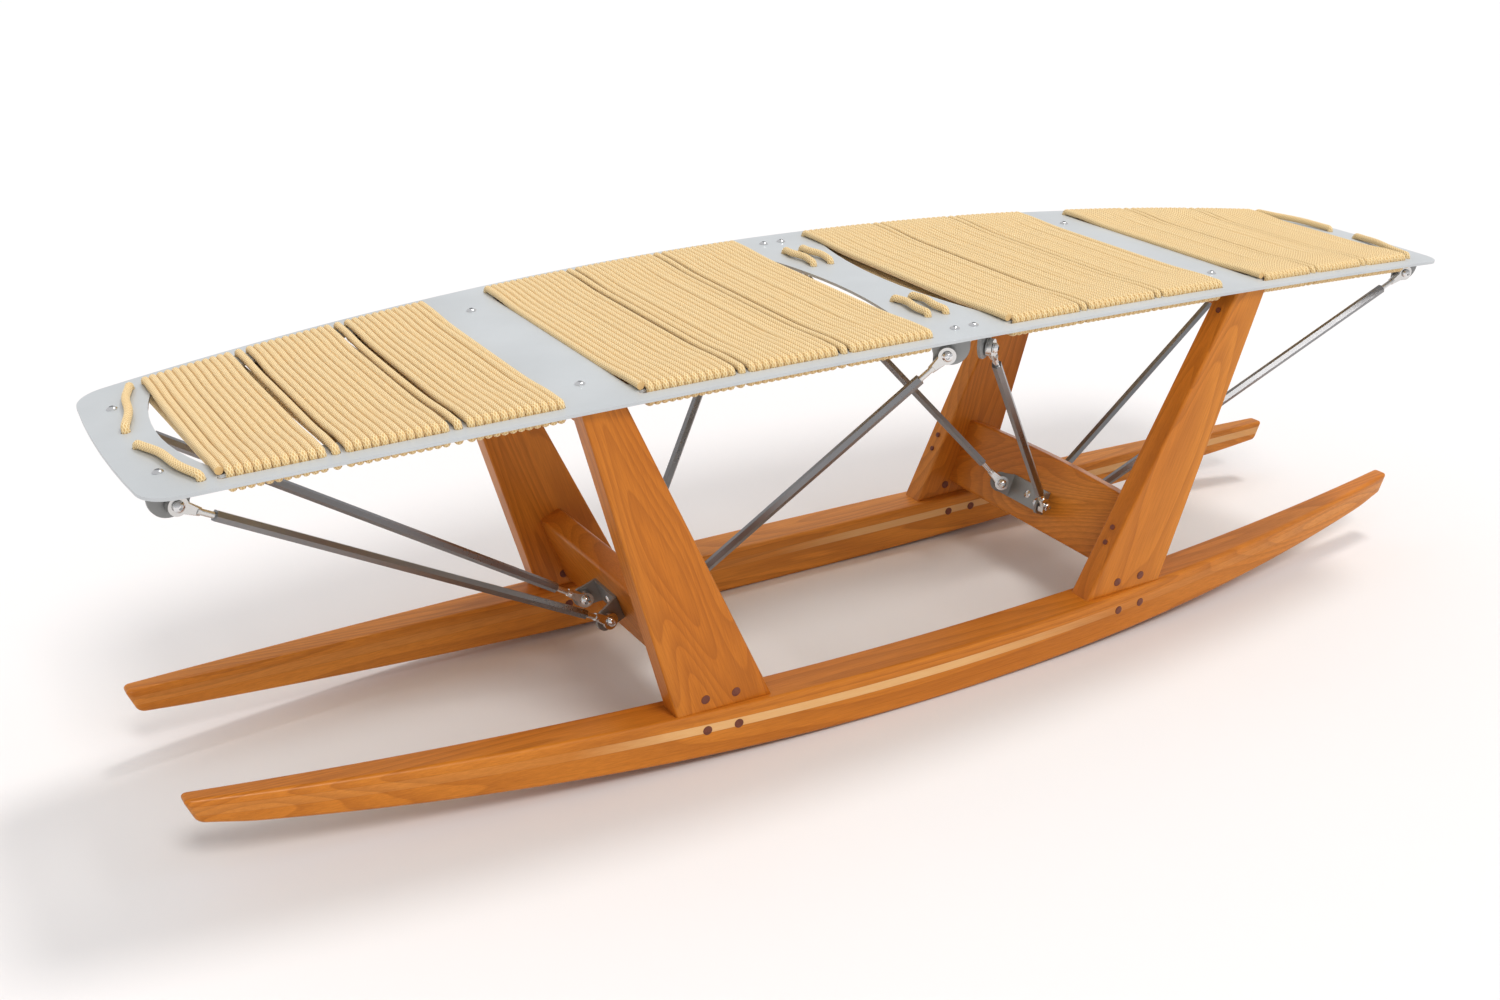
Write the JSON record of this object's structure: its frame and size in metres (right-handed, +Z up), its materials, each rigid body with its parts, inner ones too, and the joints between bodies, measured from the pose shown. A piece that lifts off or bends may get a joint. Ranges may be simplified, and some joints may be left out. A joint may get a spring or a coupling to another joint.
{
  "type": "rocking bench",
  "caption": "Low rocking bench like a sled: curved laminated runners, raking legs, a crowned metal seat plate wound with rope, and threaded struts with ball joints.",
  "frame": {"origin": "on the floor under the middle of the bench, at the lowest line of the runners", "axes": "+X along the bench, +Y across it to the left, +Z up"},
  "size_m": [1.682, 0.447, 0.4491],
  "materials": {
    "cherry": "oiled cherry, straight grain",
    "maple": "oiled maple",
    "walnut": "oiled walnut, end grain",
    "satin_aluminium": "fine bead-blasted",
    "strap_aluminium": "fine bead-blasted, grey",
    "tube_aluminium": "satin drawn hexagon bar",
    "rod_end_steel": "bright plated",
    "bright_steel": "polished",
    "rope": "braided cord, straw"
  },
  "bodies": {
    "root": {"seat_plate": "satin_aluminium", "rope_panel_rear_end": "rope", "rope_panel_rear_middle": "rope", "rope_panel_front_middle": "rope", "rope_panel_front_end": "rope", "rope_stitches": "rope", "runner_left_top": "cherry", "runner_left_maple": "maple", "runner_left_base": "cherry", "runner_right_top": "cherry", "runner_right_maple": "maple", "runner_right_base": "cherry", "leg_front_left": "cherry", "leg_front_right": "cherry", "leg_rear_left": "cherry", "leg_rear_right": "cherry", "crossbar_lower_front": "cherry", "crossbar_lower_rear": "cherry", "crossbar_upper_front": "cherry", "crossbar_upper_rear": "cherry", "floating_tenons": "walnut", "runner_plugs": "walnut", "leg_plugs": "walnut", "crossbar_plugs": "walnut", "bracket_outer_front": "strap_aluminium", "bracket_inner_front": "strap_aluminium", "bracket_outer_rear": "strap_aluminium", "bracket_inner_rear": "strap_aluminium", "bracket_screws": "bright_steel", "end_tabs": "strap_aluminium", "centre_tabs": "strap_aluminium", "plate_screws_end": "bright_steel", "plate_screws_leg": "bright_steel", "plate_screws_centre": "bright_steel", "rod_end_balls": "bright_steel", "rod_end_bolts": "bright_steel", "rod_end_nuts": "bright_steel"},
    "strut_front_end_left": {"tube_front_end_left": "tube_aluminium", "rod_ends_front_end_left": "rod_end_steel"},
    "strut_front_end_right": {"tube_front_end_right": "tube_aluminium", "rod_ends_front_end_right": "rod_end_steel"},
    "strut_rear_end_left": {"tube_rear_end_left": "tube_aluminium", "rod_ends_rear_end_left": "rod_end_steel"},
    "strut_rear_end_right": {"tube_rear_end_right": "tube_aluminium", "rod_ends_rear_end_right": "rod_end_steel"},
    "strut_front_centre_left": {"tube_front_centre_left": "tube_aluminium", "rod_ends_front_centre_left": "rod_end_steel"},
    "strut_front_centre_right": {"tube_front_centre_right": "tube_aluminium", "rod_ends_front_centre_right": "rod_end_steel"},
    "strut_rear_centre_left": {"tube_rear_centre_left": "tube_aluminium", "rod_ends_rear_centre_left": "rod_end_steel"},
    "strut_rear_centre_right": {"tube_rear_centre_right": "tube_aluminium", "rod_ends_rear_centre_right": "rod_end_steel"}
  },
  "joints": [
    {"name": "roll_front_end_left", "type": "hinge", "parent": "root", "child": "strut_front_end_left", "pos_m": [0.57142, 0.07319, 0.24157], "axis": [0.8523, 0.1582, 0.4986], "range_deg": [-6, 6]},
    {"name": "roll_front_end_right", "type": "hinge", "parent": "root", "child": "strut_front_end_right", "pos_m": [0.57142, -0.07319, 0.24157], "axis": [0.8523, -0.1582, 0.4986], "range_deg": [-6, 6]},
    {"name": "roll_rear_end_left", "type": "hinge", "parent": "root", "child": "strut_rear_end_left", "pos_m": [-0.57142, 0.07319, 0.24157], "axis": [-0.8523, 0.1582, 0.4986], "range_deg": [-6, 6]},
    {"name": "roll_rear_end_right", "type": "hinge", "parent": "root", "child": "strut_rear_end_right", "pos_m": [-0.57142, -0.07319, 0.24157], "axis": [-0.8523, -0.1582, 0.4986], "range_deg": [-6, 6]},
    {"name": "roll_front_centre_left", "type": "hinge", "parent": "root", "child": "strut_front_centre_left", "pos_m": [0.15032, 0.12195, 0.26917], "axis": [-0.5854, 0.3833, 0.7144], "range_deg": [-6, 6]},
    {"name": "roll_front_centre_right", "type": "hinge", "parent": "root", "child": "strut_front_centre_right", "pos_m": [0.15032, -0.12195, 0.26917], "axis": [-0.5854, -0.3833, 0.7144], "range_deg": [-6, 6]},
    {"name": "roll_rear_centre_left", "type": "hinge", "parent": "root", "child": "strut_rear_centre_left", "pos_m": [-0.15032, 0.12195, 0.26917], "axis": [0.5854, 0.3833, 0.7144], "range_deg": [-6, 6]},
    {"name": "roll_rear_centre_right", "type": "hinge", "parent": "root", "child": "strut_rear_centre_right", "pos_m": [-0.15032, -0.12195, 0.26917], "axis": [0.5854, -0.3833, 0.7144], "range_deg": [-6, 6]}
  ]
}
